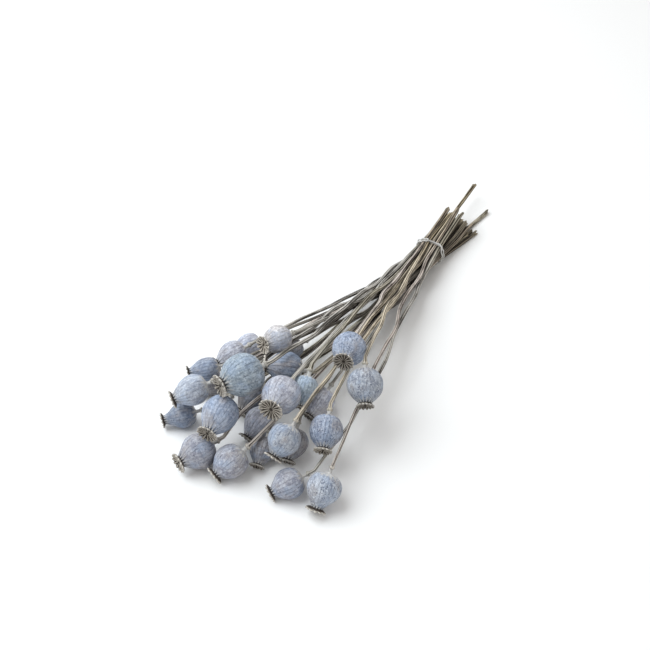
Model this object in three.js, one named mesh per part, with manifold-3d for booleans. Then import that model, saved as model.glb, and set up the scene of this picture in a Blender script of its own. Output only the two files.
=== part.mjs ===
// A bunch of dried poppy seed heads on their cut stems, held by a thin elastic band and laid on a table.
// Millimetres, +Z up. The stems run along Y: the heads lie towards -Y and the cut ends towards +Y.
// Each poppy is one stem with its receptacle ring, and one head: a seed capsule with its rayed crown.
import * as THREE from "three";
import { mergeVertices } from "three/addons/utils/BufferGeometryUtils.js";
import Module from "manifold-3d";

const wasm = await Module();
wasm.setup();

// Colours and roughnesses of the three finishes.
const CAPSULE_COLOR = 0x8f97a6;
const CAPSULE_ROUGHNESS = 0.85;
const STEM_COLOR = 0x9a8c78;
const STEM_ROUGHNESS = 0.8;
const BAND_COLOR = 0xc9c3b6;
const BAND_ROUGHNESS = 0.6;

// The poppies. x, y and z place the middle of the capsule, measured from the table point under the band.
// A head that lies on the table has no z here: it is lowered until it rests.
// turn and pitch aim the crown: turn from -Y towards +X, and pitch up from level.
// width is the capsule's diameter, and long is its length over its width.
// taper goes from 0 for a round capsule to 1 for one that narrows to the crown.
// rays counts the crown's lobes. stalk is the stem's diameter under the head.
const POPPIES = [
  { x: -38, y: -250, z: 48, width: 27.2, long: 1.05, taper: 0.1, turn: -17, pitch: 10, rays: 12, stalk: 4.4 },
  { x: -86, y: -232, width: 24.2, long: 1.1, taper: 0.3, turn: -32, pitch: -6, rays: 11, stalk: 3.6 },
  { x: -82, y: -266, z: 24, width: 27.0, long: 1.1, taper: 0.3, turn: -26, pitch: -11, rays: 12, stalk: 3.8 },
  { x: -29, y: -318, z: 70, width: 40.0, long: 0.98, taper: 0, turn: -23, pitch: 0, rays: 14, stalk: 5.0 },
  { x: -84, y: -293, width: 24.0, long: 1.05, taper: 0.4, turn: -31, pitch: -12, rays: 11, stalk: 3.6 },
  { x: -75, y: -337, z: 42, width: 28.9, long: 1.12, taper: 0.35, turn: -39, pitch: -16, rays: 12, stalk: 3.8 },
  { x: -87, y: -301, z: 34, width: 22.4, long: 1.25, taper: 0.7, turn: -47, pitch: -5, rays: 11, stalk: 3.4 },
  { x: -84, y: -346, width: 25.0, long: 1.2, taper: 0.9, turn: -45, pitch: -8, rays: 12, stalk: 3.6 },
  { x: -34, y: -350, z: 43, width: 33.4, long: 1.12, taper: 0.35, turn: 7, pitch: -7, rays: 13, stalk: 4.2 },
  { x: -40, y: -377, width: 32.7, long: 1.02, taper: 0.3, turn: -21, pitch: -3, rays: 14, stalk: 4.6 },
  { x: -8, y: -371, width: 31.0, long: 1.0, taper: 0.1, turn: -26, pitch: -27, rays: 13, stalk: 4.8 },
  { x: -38, y: -292, width: 27.5, long: 1.0, taper: 0.2, turn: -9, pitch: -20, rays: 12, stalk: 3.8 },
  { x: -24, y: -316, width: 28.6, long: 1.08, taper: 0.2, turn: -10, pitch: -26, rays: 12, stalk: 3.8 },
  { x: 12, y: -314, z: 60, width: 35.2, long: 1.0, taper: 0, turn: 9, pitch: 5, rays: 15, stalk: 4.6 },
  { x: -28, y: -267, z: 41, width: 33.0, long: 1.0, taper: 0.2, turn: -62, pitch: 6, rays: 13, stalk: 4.4 },
  { x: -33, y: -224, z: 20, width: 20.0, long: 1.05, taper: 0.3, turn: -27, pitch: -10, rays: 11, stalk: 3.2 },
  { x: 33, y: -344, z: 44, width: 29.7, long: 1.0, taper: 0.1, turn: -7, pitch: -34, rays: 13, stalk: 3.8 },
  { x: -3, y: -340, width: 24.5, long: 1.05, taper: 0.5, turn: 13, pitch: -24, rays: 11, stalk: 3.4 },
  { x: 24, y: -325, width: 29.0, long: 1.0, taper: 0.2, turn: 13, pitch: -30, rays: 12, stalk: 3.8 },
  { x: 15, y: -283, z: 43, width: 24.5, long: 1.15, taper: 0.6, turn: 12, pitch: -34, rays: 12, stalk: 4.6 },
  { x: 19, y: -263, width: 27.0, long: 1.1, taper: 0.5, turn: -6, pitch: -24, rays: 13, stalk: 3.8 },
  { x: 40, y: -234, z: 65, width: 32.0, long: 1.0, taper: 0, turn: 15, pitch: 5, rays: 14, stalk: 3.4 },
  { x: 56, y: -264, z: 57, width: 33.6, long: 0.96, taper: 0, turn: 31, pitch: -26, rays: 14, stalk: 3.8 },
  { x: 58, y: -313, z: 41, width: 30.4, long: 1.0, taper: 0.1, turn: 22, pitch: -23, rays: 13, stalk: 4.0 },
  { x: 49, y: -363, width: 28.2, long: 1.03, taper: 0.25, turn: -39, pitch: -20, rays: 12, stalk: 3.4 },
  { x: 82, y: -356, width: 31.0, long: 1.0, taper: 0.5, turn: 3, pitch: -42, rays: 13, stalk: 3.2 },
];

// Crowns that are larger or smaller than most for their head, by the head's number.
const CROWN_SIZES = { 1: 1.12, 4: 0.9, 14: 1.1, 22: 1.05, 23: 0.82, 24: 0.95 };

// The capsule's outline from the neck to the crown: the place over the capsule's length,
// and the radius over the width of a round capsule and of a fully tapered one.
const CAPSULE_OUTLINE = [
  [0.0, 0.11, 0.11],
  [0.055, 0.3, 0.32],
  [0.22, 0.445, 0.47],
  [0.46, 0.5, 0.5],
  [0.68, 0.455, 0.385],
  [0.86, 0.325, 0.235],
  [1.0, 0.175, 0.16],
];
// The crown: a shallow cup of lobes, one to a ray.
// Radii are over the head's width, and rises are over the width and count from the end of the capsule.
const CROWN_LOBE_RADIUS = 0.295;
const CROWN_NOTCH_RADIUS = 0.262;
const CROWN_THROAT_RADIUS = 0.18;
const CROWN_THROAT_RISE = 0.027;
const CROWN_LOBE_RISE = 0.115;
const CROWN_NOTCH_RISE = 0.085;
const CROWN_THICKNESS = 0.028;
const CROWN_DISH_RISE = 0.07;

// The neck between receptacle and capsule, and the receptacle ring that closes the stem.
const NECK_LENGTH = 4.5;
const NECK_RADIUS = 0.5; // over the stalk's diameter
const RING_RADIUS = 0.82; // over the stalk's diameter
const RING_END_RADIUS = 0.62; // over the stalk's diameter
const FLARE_RADIUS = 0.56; // over the stalk's diameter
const RING_LENGTH = 2.4;
const FLARE_LENGTH = 9;
const COLOR_SEAM = 0.3; // the gap between the stem's node and the head's

// The stems.
const STEM_SIDES = 6;
const CUT_DIAMETERS = [4.5, 5.3]; // at the cut end, thinnest and thickest
const TAILS = [62, 88]; // how far the cut ends stand past the band, shortest and longest
const LONG_TAILS = { 3: 122, 24: 140 }; // those of two poppies, by the poppy's number
const TAIL_STEPS = 2;
const STEP_LENGTH = 32; // between two sections of the stem on the way to the head
const WANDER = 3; // how far a point of the stem strays from its smooth curve, except in the band
const STRAIGHT_POINTS = 3; // at the head, which don't stray
const STALK_TAPER = 0.86; // thinnest part of the stem over the stalk's diameter
const TAPER_POWER = 0.8; // below 1, a stem thins out most near its cut end
const CURVE_PULLS = [0.32, 0.22]; // how far a stem keeps straight at the band and at the head
const BAND_EASE = 0.2; // how far the stems line up with each other in the band
const TAIL_EASE = 0.45; // how far their tails do
const CALM_STEPS = 3; // points next to the band over which the wander sets in
const ARRIVAL_EASE = 0.55; // how far a stem heads for the band as soon as it leaves the receptacle
const ROWS = [4, 5, 6, 6, 5]; // stems in each row of the bundle in the band, from the lowest up

// The band round the stems.
const BAND_THICKNESS = 1.6;
const BAND_SIDES = 6;
const BAND_STEPS = 48; // over both turns
const BAND_SPREAD = 3.2; // each turn's distance from the middle where the turns lie apart
const BAND_LIFT = 1.0; // each turn's lift above or below the middle where the turns cross
const BAND_GAP = 0.35; // between the band and the stems
const BAND_FLOOR = BAND_THICKNESS + BAND_GAP + 0.05; // the lowest stems' height over the table in the band

// How the pieces give way to each other.
const STEM_GAP = 0.3; // least room between two stems
const HEAD_GAP = 0.5; // least room between a stem and a head
const TOUCH_GAP = 0.3; // least room between two heads
const FLAT_DEPTH = 0.6; // how much of a lying head's underside is pressed flat by the table
const ROUNDS = 300;
const LAST_ROUNDS = 50; // at the end, without easing or pulling
const EASE = 0.5;
const HEAD_YIELD = 0.2; // the head's share of the way, where a stem and a head part
const HOME_PULL = 0.03; // how firmly a head keeps to its own place
const BAND_PULL = 0.06; // how firmly the band draws a stem in
const BAND_MIDDLE = 11; // height of the bundle's middle in the band

// Balls that stand for a head while the pieces give way to each other.
// Radii and places are over the head's width.
const BODY_BALL_RADIUS = 0.515;
const BODY_BALL_PLACE = -0.04; // from the capsule's middle towards the crown
const THROAT_BALL_RADIUS = 0.2;
const NECK_BALL_RADIUS = 0.09;
const RIM_BALLS = 8;
const RIM_BALL_RADIUS = 0.08;
const RIM_BALL_OUT = 0.22; // from the axis
const RIM_BALL_RISE = 0.09; // past the capsule

const SEED = 7;
const RANDOM_RANGE = 2 ** 32;
const RANDOM_FACTOR = 1664525;
const RANDOM_STEP = 1013904223;
const WELD = 1e-4; // points that are closer than this are one point
const PARALLEL = 1e-9; // below this, two pieces of line count as parallel
const TABLE_BLOCK = 1000; // side of the block that stands for the table

// A random source from 0 to 1 that draws the same numbers in every run.
function makeRandom() {
  let state = SEED;
  return () => {
    state = (state * RANDOM_FACTOR + RANDOM_STEP) % RANDOM_RANGE;
    return state / RANDOM_RANGE;
  };
}

const radians = THREE.MathUtils.degToRad;
const lerp = THREE.MathUtils.lerp;
const TURN = 2 * Math.PI;

// A closed surface through rings of points, each as long as the ring before it, twice as long or half as long.
// first and last close the ends. The rings run counter-clockwise seen from the last point.
function skin(first, rings, last) {
  const points = [first, ...rings.flat(), last];
  const faces = [];
  const starts = [];
  let next = 1;
  for (const ring of rings) {
    starts.push(next);
    next += ring.length;
  }
  const at = (ring, k) => starts[ring] + (k % rings[ring].length);
  rings[0].forEach((_, k) => faces.push([0, at(0, k + 1), at(0, k)]));
  for (let r = 0; r + 1 < rings.length; r++) {
    const here = rings[r].length;
    const there = rings[r + 1].length;
    for (let k = 0; k < Math.min(here, there); k++) {
      if (here === there) {
        faces.push([at(r, k), at(r, k + 1), at(r + 1, k + 1)]);
        faces.push([at(r, k), at(r + 1, k + 1), at(r + 1, k)]);
      } else if (here < there) {
        faces.push([at(r, k), at(r + 1, 2 * k + 1), at(r + 1, 2 * k)]);
        faces.push([at(r, k), at(r, k + 1), at(r + 1, 2 * k + 1)]);
        faces.push([at(r, k + 1), at(r + 1, 2 * k + 2), at(r + 1, 2 * k + 1)]);
      } else {
        faces.push([at(r + 1, k), at(r, 2 * k), at(r, 2 * k + 1)]);
        faces.push([at(r + 1, k), at(r, 2 * k + 1), at(r + 1, k + 1)]);
        faces.push([at(r + 1, k + 1), at(r, 2 * k + 1), at(r, 2 * k + 2)]);
      }
    }
  }
  const top = rings.length - 1;
  const end = points.length - 1;
  rings[top].forEach((_, k) => faces.push([end, at(top, k), at(top, k + 1)]));
  const geometry = new THREE.BufferGeometry().setFromPoints(points);
  geometry.setIndex(faces.flat());
  return geometry;
}

// A ring round +Z. radiusAt and riseAt take the number of the point.
function ring(count, radiusAt, riseAt) {
  return Array.from({ length: count }, (_, k) => {
    const angle = (TURN * k) / count;
    return new THREE.Vector3(radiusAt(k) * Math.cos(angle), radiusAt(k) * Math.sin(angle), riseAt(k));
  });
}

// A head in its own frame: the middle of the capsule at the origin, the crown towards +Z.
function headGeometry({ width, long, taper, rays, stalk, crown }) {
  const length = width * long;
  const bottom = -length / 2;
  const top = length / 2;
  const neckRadius = NECK_RADIUS * stalk;
  const rings = [ring(rays, () => neckRadius, () => bottom - NECK_LENGTH + COLOR_SEAM)];
  for (const [place, round, tapered] of CAPSULE_OUTLINE) {
    const radius = Math.max(lerp(round, tapered, taper) * width, neckRadius);
    rings.push(ring(rays, () => radius, () => bottom + place * length));
  }
  const isLobe = (k) => k % 2 === 0;
  const lobeRadius = (k) => crown * width * (isLobe(k) ? CROWN_LOBE_RADIUS : CROWN_NOTCH_RADIUS);
  const lobeRise = (k) => top + width * (isLobe(k) ? CROWN_LOBE_RISE : CROWN_NOTCH_RISE);
  rings.push(ring(rays, () => CROWN_THROAT_RADIUS * width, () => top + CROWN_THROAT_RISE * width));
  rings.push(ring(2 * rays, lobeRadius, (k) => lobeRise(k) - CROWN_THICKNESS * width));
  rings.push(ring(2 * rays, lobeRadius, lobeRise));
  const base = new THREE.Vector3(0, 0, bottom - NECK_LENGTH + COLOR_SEAM);
  const dish = new THREE.Vector3(0, 0, top + CROWN_DISH_RISE * width);
  return skin(base, rings, dish);
}

// Where a head stands: the middle of its capsule, the crown's direction, and the turn that aims +Z along it.
function placeHead(poppy, number, random) {
  const turn = radians(poppy.turn);
  const pitch = radians(poppy.pitch);
  const axis = new THREE.Vector3(
    Math.sin(turn) * Math.cos(pitch),
    -Math.cos(turn) * Math.cos(pitch),
    Math.sin(pitch),
  );
  const aim = new THREE.Quaternion().setFromUnitVectors(new THREE.Vector3(0, 0, 1), axis);
  const roll = new THREE.Quaternion().setFromAxisAngle(axis, random() * TURN);
  const quaternion = roll.multiply(aim);
  const middle = new THREE.Vector3(poppy.x, poppy.y, poppy.z);
  const crown = CROWN_SIZES[number] ?? 1;
  const geometry = headGeometry({ ...poppy, crown }).applyQuaternion(quaternion);
  geometry.computeBoundingBox();
  const drop = -geometry.boundingBox.min.z;
  const lies = poppy.z === undefined;
  if (lies) middle.z = drop - FLAT_DEPTH;
  const length = poppy.width * poppy.long;
  const head = { ...poppy, number, crown, length, lies, axis, quaternion, middle, geometry, drop };
  head.home = middle.clone();
  head.balls = headBalls(head);
  return head;
}

// Balls that together fill a head: the capsule, the neck, and the crown with its rim.
function headBalls({ middle, axis, quaternion, width, length, crown }) {
  const along = (distance) => middle.clone().addScaledVector(axis, distance);
  const spare = Math.max(length - width, 0) / 2;
  const balls = [
    { at: along(BODY_BALL_PLACE * width - spare), radius: BODY_BALL_RADIUS * width },
    { at: along(BODY_BALL_PLACE * width + spare), radius: BODY_BALL_RADIUS * width },
    { at: along(length / 2), radius: THROAT_BALL_RADIUS * width },
    { at: along(-(length + NECK_LENGTH) / 2), radius: NECK_BALL_RADIUS * width },
  ];
  for (let k = 0; k < RIM_BALLS; k++) {
    const rim = new THREE.Vector3(RIM_BALL_OUT * crown * width, 0, length / 2 + RIM_BALL_RISE * width);
    rim.applyAxisAngle(new THREE.Vector3(0, 0, 1), (TURN * k) / RIM_BALLS).applyQuaternion(quaternion);
    balls.push({ at: rim.add(middle), radius: RIM_BALL_RADIUS * width });
  }
  return balls;
}

// Places in the band's cross-section for all stems, row on row, and which stem takes which.
// Stems that go far to +X lie in the upper rows and cross over those that go to -X, and in each row
// the stems of the highest heads lie furthest to -X. So the stems twist past each other and never meet.
function bandPlaces(heads) {
  const pitch = CUT_DIAMETERS[1] + STEM_GAP;
  const slope = (head) => head.middle.x / -head.middle.y;
  const climb = (head) => head.middle.z / -head.middle.y;
  const order = heads.map((_, i) => i).sort((a, b) => slope(heads[a]) - slope(heads[b]));
  const places = [];
  let taken = 0;
  ROWS.forEach((count, row) => {
    const members = order.slice(taken, taken + count);
    members.sort((a, b) => climb(heads[b]) - climb(heads[a]));
    members.forEach((poppy, k) => {
      const x = (k - (count - 1) / 2) * pitch;
      const z = BAND_FLOOR + pitch / 2 + row * pitch * Math.sin(radians(60));
      places[poppy] = new THREE.Vector3(x, 0, z);
    });
    taken += count;
  });
  return places;
}

// A stem as a line of points with a radius each, from the cut end through the band to the receptacle.
// The last two points belong to the receptacle and move only with the head.
function addStem(head, place, random) {
  const end = head.middle.clone().addScaledVector(head.axis, -head.length / 2 - NECK_LENGTH);
  const chord = end.clone().sub(place).normalize();
  const arrival = head.axis.clone().lerp(chord, ARRIVAL_EASE).normalize();
  const departure = chord.clone().lerp(new THREE.Vector3(0, -1, 0), BAND_EASE).normalize();
  const ringStart = end.clone().addScaledVector(head.axis, -RING_LENGTH);
  const span = ringStart.distanceTo(place);
  const curve = new THREE.CubicBezierCurve3(
    place,
    place.clone().addScaledVector(departure, CURVE_PULLS[0] * span),
    ringStart.clone().addScaledVector(arrival, -CURVE_PULLS[1] * span),
    ringStart,
  );
  const tail = LONG_TAILS[head.number] ?? lerp(TAILS[0], TAILS[1], random());
  const points = [];
  const tailWay = chord.clone().lerp(new THREE.Vector3(0, -1, 0), TAIL_EASE).normalize();
  for (let k = TAIL_STEPS; k > 0; k--) {
    points.push(place.clone().addScaledVector(tailWay, (-tail * k) / TAIL_STEPS));
  }
  points.push(...curve.getSpacedPoints(Math.round(span / STEP_LENGTH)), end);
  for (let k = 0; k < points.length - STRAIGHT_POINTS; k++) {
    if (k === TAIL_STEPS) continue;
    const wander = WANDER * Math.min(1, Math.abs(k - TAIL_STEPS) / CALM_STEPS);
    points[k].x += wander * (2 * random() - 1);
    points[k].z += wander * (2 * random() - 1);
  }
  const cut = lerp(CUT_DIAMETERS[0], CUT_DIAMETERS[1], random());
  const last = points.length - 1;
  head.points = points;
  head.radii = points.map((_, k) => lerp(cut, head.stalk * STALK_TAPER, (k / last) ** TAPER_POWER) / 2);
  head.radii[last] = RING_RADIUS * head.stalk;
  head.fixed = last - 1;
  head.first = points.map((point) => point.clone());
}

// Nearest places of the pieces a0a1 and b0b1, as shares of each, and the vector from the first to the second.
function nearest(a0, a1, b0, b1) {
  const u = a1.clone().sub(a0);
  const v = b1.clone().sub(b0);
  const w = a0.clone().sub(b0);
  const uu = u.dot(u);
  const uv = u.dot(v);
  const vv = v.dot(v);
  const uw = u.dot(w);
  const vw = v.dot(w);
  const flat = uu * vv - uv * uv;
  const clamp = (x) => Math.min(1, Math.max(0, x));
  let s = flat > PARALLEL ? clamp((uv * vw - vv * uw) / flat) : 0.5;
  const t = clamp((uv * s + vw) / vv);
  s = clamp((uv * t - uw) / uu);
  const gap = b0.clone().addScaledVector(v, t).sub(a0.clone().addScaledVector(u, s));
  return { s, t, gap };
}

// Whether the boxes round the pieces a0a1 and b0b1 are further apart than reach.
function apart(reach, a0, a1, b0, b1) {
  for (const axis of ["x", "y", "z"]) {
    if (Math.min(a0[axis], a1[axis]) - reach > Math.max(b0[axis], b1[axis])) return true;
    if (Math.max(a0[axis], a1[axis]) + reach < Math.min(b0[axis], b1[axis])) return true;
  }
  return false;
}

// Moves a head with its receptacle. One that lies on the table stays on it.
function moveHead(plant, push) {
  if (plant.lies) push.z = 0;
  push.z = Math.max(push.z, plant.drop - FLAT_DEPTH - plant.middle.z);
  plant.middle.add(push);
  plant.balls.forEach((ball) => ball.at.add(push));
  for (let k = plant.fixed; k < plant.points.length; k++) plant.points[k].add(push);
}

// Moves piece k of a stem, most at the end that is nearer to the share.
function moveStem(plant, k, share, push) {
  if (k < plant.fixed) plant.points[k].addScaledVector(push, 1 - share);
  if (k + 1 < plant.fixed) plant.points[k + 1].addScaledVector(push, share);
  else if (share > 0.5) moveHead(plant, push.clone().multiplyScalar(0.5));
}

function partStems(one, two) {
  for (let i = 0; i + 1 < one.points.length; i++) {
    for (let j = 0; j + 1 < two.points.length; j++) {
      const ends = [one.points[i], one.points[i + 1], two.points[j], two.points[j + 1]];
      const most = Math.max(one.radii[i], one.radii[i + 1]) + Math.max(two.radii[j], two.radii[j + 1]);
      if (apart(most + STEM_GAP, ...ends)) continue;
      const { s, t, gap } = nearest(...ends);
      const room = lerp(one.radii[i], one.radii[i + 1], s) + lerp(two.radii[j], two.radii[j + 1], t);
      const lack = room + STEM_GAP - gap.length();
      if (lack <= 0) continue;
      const push = gap.setLength(lack / 2);
      moveStem(two, j, t, push);
      moveStem(one, i, s, push.negate());
    }
  }
}

function partStemAndHead(stem, head) {
  for (const ball of head.balls) {
    for (let i = 0; i + 1 < stem.points.length; i++) {
      const line = new THREE.Line3(stem.points[i], stem.points[i + 1]);
      const share = line.closestPointToPointParameter(ball.at, true);
      const gap = line.at(share, new THREE.Vector3()).sub(ball.at);
      const lack = ball.radius + lerp(stem.radii[i], stem.radii[i + 1], share) + HEAD_GAP - gap.length();
      if (lack <= 0) continue;
      moveStem(stem, i, share, gap.clone().setLength((1 - HEAD_YIELD) * lack));
      moveHead(head, gap.setLength(-HEAD_YIELD * lack));
    }
  }
}

function partHeads(one, two) {
  if (one.middle.distanceTo(two.middle) > one.width + two.width) return;
  for (const a of one.balls) {
    for (const b of two.balls) {
      const gap = b.at.clone().sub(a.at);
      const lack = a.radius + b.radius + TOUCH_GAP - gap.length();
      if (lack <= 0) continue;
      moveHead(two, gap.clone().setLength(lack / 2));
      moveHead(one, gap.setLength(-lack / 2));
    }
  }
}

// Evens out what a stem's points have moved, so that it stays a smooth curve, and draws it into the band.
function easeStem(plant) {
  const moved = plant.points.map((point, k) => point.clone().sub(plant.first[k]));
  for (let k = 0; k < plant.fixed; k++) {
    const mean = moved[Math.max(k - 1, 0)].clone().add(moved[k + 1]).multiplyScalar(0.5);
    plant.points[k].addScaledVector(mean.sub(moved[k]), EASE);
  }
  const held = plant.points[TAIL_STEPS];
  held.x *= 1 - BAND_PULL;
  held.z = lerp(held.z, BAND_MIDDLE, BAND_PULL);
}

// Lets the heads and stems give way to each other and to the table, until nothing cuts through anything.
function settle(plants) {
  for (let round = 0; round < ROUNDS; round++) {
    const easing = round < ROUNDS - LAST_ROUNDS;
    if (easing) plants.forEach(easeStem);
    for (let i = 0; i < plants.length; i++) {
      for (let j = 0; j < plants.length; j++) {
        if (i < j) partStems(plants[i], plants[j]);
        if (i < j) partHeads(plants[i], plants[j]);
        if (i !== j) partStemAndHead(plants[i], plants[j]);
      }
    }
    for (const plant of plants) {
      if (easing) moveHead(plant, plant.home.clone().sub(plant.middle).multiplyScalar(HOME_PULL));
      plant.points.forEach((point, k) => {
        const floor = plant.radii[k] + (k === TAIL_STEPS ? BAND_FLOOR : 0);
        if (k < plant.fixed) point.z = Math.max(point.z, floor);
      });
    }
  }
}

// A tube through sections of a line, each square to it, with a flat end.
function tubeGeometry(points, radii, sides) {
  const count = points.length;
  const tangents = points.map((point, k) => {
    const after = points[Math.min(k + 1, count - 1)];
    const before = points[Math.max(k - 1, 0)];
    return after.clone().sub(before).normalize();
  });
  const side = new THREE.Vector3(1, 0, 0);
  const rings = points.map((point, k) => {
    const across = side.clone().addScaledVector(tangents[k], -side.dot(tangents[k])).normalize();
    const up = tangents[k].clone().cross(across);
    return Array.from({ length: sides }, (_, n) => {
      const angle = (TURN * n) / sides;
      return point.clone()
        .addScaledVector(across, radii[k] * Math.cos(angle))
        .addScaledVector(up, radii[k] * Math.sin(angle));
    });
  });
  return skin(points[0].clone(), rings, points[count - 1].clone());
}

// The stem's own line, and past it the flare and the receptacle ring under the head.
function stemGeometry({ points, radii, axis, stalk }) {
  const end = points.at(-1);
  const ringStart = points.at(-2);
  const before = points.at(-3);
  const flareStart = ringStart.clone().lerp(before, FLARE_LENGTH / ringStart.distanceTo(before));
  const ringMiddle = end.clone().addScaledVector(axis, -RING_LENGTH / 2);
  return tubeGeometry(
    [...points.slice(0, -2), flareStart, ringStart, ringMiddle, end],
    [...radii.slice(0, -2), radii.at(-2), FLARE_RADIUS * stalk, RING_RADIUS * stalk, RING_END_RADIUS * stalk],
    STEM_SIDES,
  );
}

// Where a stem's middle line passes the plane at that y, and its radius there, widened by its slant.
function crossing(stem, y) {
  for (let k = 0; k + 1 < stem.points.length; k++) {
    const a = stem.points[k];
    const b = stem.points[k + 1];
    if (a.y < y || b.y > y) continue;
    const share = (a.y - y) / (a.y - b.y);
    const at = a.clone().lerp(b, share);
    const slant = Math.abs(a.y - b.y) / a.distanceTo(b);
    return { at, radius: lerp(stem.radii[k], stem.radii[k + 1], share) / slant };
  }
  throw new Error("a stem doesn't pass the band");
}

// The elastic band: one closed loop that goes twice round the bundle and crosses itself once, on top.
function bandGeometry(stems) {
  const radius = BAND_THICKNESS / 2;
  const path = [];
  for (let k = 0; k < BAND_STEPS; k++) {
    const angle = (2 * TURN * k) / BAND_STEPS;
    const phase = (angle - Math.PI / 2) / 2;
    const y = BAND_SPREAD * Math.sin(phase);
    const lift = BAND_LIFT * (Math.cos(phase) + 1) * Math.max(0, Math.sin(angle));
    const out = new THREE.Vector3(Math.cos(angle), 0, Math.sin(angle));
    let best = null;
    for (const plane of [y - radius, y, y + radius]) {
      for (const stem of stems) {
        const { at, radius: thick } = crossing(stem, plane);
        const support = at.dot(out) + thick;
        if (!best || support > best.support) best = { at, thick, support };
      }
    }
    const point = best.at.clone().addScaledVector(out, best.thick + BAND_GAP + radius + lift);
    path.push(point.set(point.x, y, Math.max(point.z, radius)));
  }
  const rings = path.map((point, k) => {
    const after = path[(k + 1) % path.length];
    const before = path[(k + path.length - 1) % path.length];
    const tangent = after.clone().sub(before).normalize();
    const angle = (2 * TURN * k) / BAND_STEPS;
    const out = new THREE.Vector3(Math.cos(angle), 0, Math.sin(angle));
    const across = out.clone().addScaledVector(tangent, -out.dot(tangent)).normalize();
    const up = tangent.clone().cross(across);
    return Array.from({ length: BAND_SIDES }, (_, n) => {
      const around = (TURN * n) / BAND_SIDES;
      return point.clone()
        .addScaledVector(across, radius * Math.cos(around))
        .addScaledVector(up, radius * Math.sin(around));
    });
  });
  const faces = [];
  const index = (k, n) => (k % rings.length) * BAND_SIDES + (n % BAND_SIDES);
  for (let k = 0; k < rings.length; k++) {
    for (let n = 0; n < BAND_SIDES; n++) {
      faces.push(index(k, n), index(k, n + 1), index(k + 1, n + 1));
      faces.push(index(k, n), index(k + 1, n + 1), index(k + 1, n));
    }
  }
  const geometry = new THREE.BufferGeometry().setFromPoints(rings.flat());
  geometry.setIndex(faces);
  return geometry;
}

function toSolid(geometry) {
  const bare = new THREE.BufferGeometry().setAttribute("position", geometry.getAttribute("position"));
  bare.setIndex(geometry.index);
  const merged = mergeVertices(bare, WELD);
  return new wasm.Manifold(
    new wasm.Mesh({
      numProp: 3,
      vertProperties: merged.attributes.position.array,
      triVerts: new Uint32Array(merged.index.array),
    }),
  );
}

function toGeometry(solid) {
  const mesh = solid.getMesh();
  const geometry = new THREE.BufferGeometry();
  geometry.setAttribute("position", new THREE.BufferAttribute(mesh.vertProperties, 3));
  geometry.setIndex(new THREE.BufferAttribute(mesh.triVerts, 1));
  return geometry;
}

// The table presses a lying head flat: what would reach below the table is cut off.
function restOnTable(geometry) {
  const below = new THREE.BoxGeometry(TABLE_BLOCK, TABLE_BLOCK, TABLE_BLOCK);
  below.translate(0, 0, -TABLE_BLOCK / 2);
  below.deleteAttribute("normal");
  below.deleteAttribute("uv");
  return toGeometry(toSolid(geometry).subtract(toSolid(below)));
}

function finish(color, roughness) {
  return new THREE.MeshStandardMaterial({ color, roughness, metalness: 0 });
}

function addMesh(group, name, geometry, material) {
  geometry.computeVertexNormals();
  const mesh = new THREE.Mesh(geometry, material);
  mesh.name = name;
  group.add(mesh);
}

const random = makeRandom();
const plants = POPPIES.map((poppy, i) => placeHead(poppy, i + 1, random));
const places = bandPlaces(plants);
plants.forEach((plant, i) => addStem(plant, places[i], random));
settle(plants);

const bunch = new THREE.Group();
const capsuleFinish = finish(CAPSULE_COLOR, CAPSULE_ROUGHNESS);
const stemFinish = finish(STEM_COLOR, STEM_ROUGHNESS);
plants.forEach((plant) => {
  const number = String(plant.number).padStart(2, "0");
  const shape = plant.geometry.clone().translate(...plant.middle.toArray());
  addMesh(bunch, `seed_head_${number}`, plant.lies ? restOnTable(shape) : shape, capsuleFinish);
  addMesh(bunch, `stem_${number}`, stemGeometry(plant), stemFinish);
});
addMesh(bunch, "band", bandGeometry(plants), finish(BAND_COLOR, BAND_ROUGHNESS));

// The origin is on the table, under the middle of the bunch.
const bounds = new THREE.Box3().setFromObject(bunch);
const centre = bounds.getCenter(new THREE.Vector3());
bunch.position.set(-centre.x, -centre.y, 0);

export default bunch;
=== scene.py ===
# A tied bunch of dried poppy seed heads on a pale floor in soft studio light: capsules with a waxy bloom
# under flat rayed crowns, dry ribbed stems, and the thin elastic band that holds them.
import math

import bmesh
import bpy
import numpy as np
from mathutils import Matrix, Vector


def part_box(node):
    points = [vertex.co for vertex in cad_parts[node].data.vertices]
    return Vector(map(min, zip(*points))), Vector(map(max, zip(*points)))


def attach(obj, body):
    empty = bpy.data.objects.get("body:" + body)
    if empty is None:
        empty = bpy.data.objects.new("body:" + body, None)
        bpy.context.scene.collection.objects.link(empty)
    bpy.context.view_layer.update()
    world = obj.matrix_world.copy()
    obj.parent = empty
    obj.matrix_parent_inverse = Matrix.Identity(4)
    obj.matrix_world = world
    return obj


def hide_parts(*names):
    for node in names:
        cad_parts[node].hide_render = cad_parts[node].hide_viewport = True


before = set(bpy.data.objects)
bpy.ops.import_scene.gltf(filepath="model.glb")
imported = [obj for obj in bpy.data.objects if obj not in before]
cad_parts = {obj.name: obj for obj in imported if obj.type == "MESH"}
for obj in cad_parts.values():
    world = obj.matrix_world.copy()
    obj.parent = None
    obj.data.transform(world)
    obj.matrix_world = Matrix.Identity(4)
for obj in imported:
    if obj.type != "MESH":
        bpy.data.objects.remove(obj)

bl_info = {
    "name": "Dried Poppy Bunch",
    "version": (1, 0, 0),
    "blender": (4, 5, 0),
    "location": "View3D > Sidebar > Poppies",
    "description": "Makes the seed heads, stems and band of a tied bunch of dried poppies",
    "category": "Add Mesh",
}

MM = 0.001
TAU = math.tau
BODY = "root"
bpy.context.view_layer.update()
NUMBERS = sorted(name[-2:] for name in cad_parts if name.startswith("stem_"))

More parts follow.
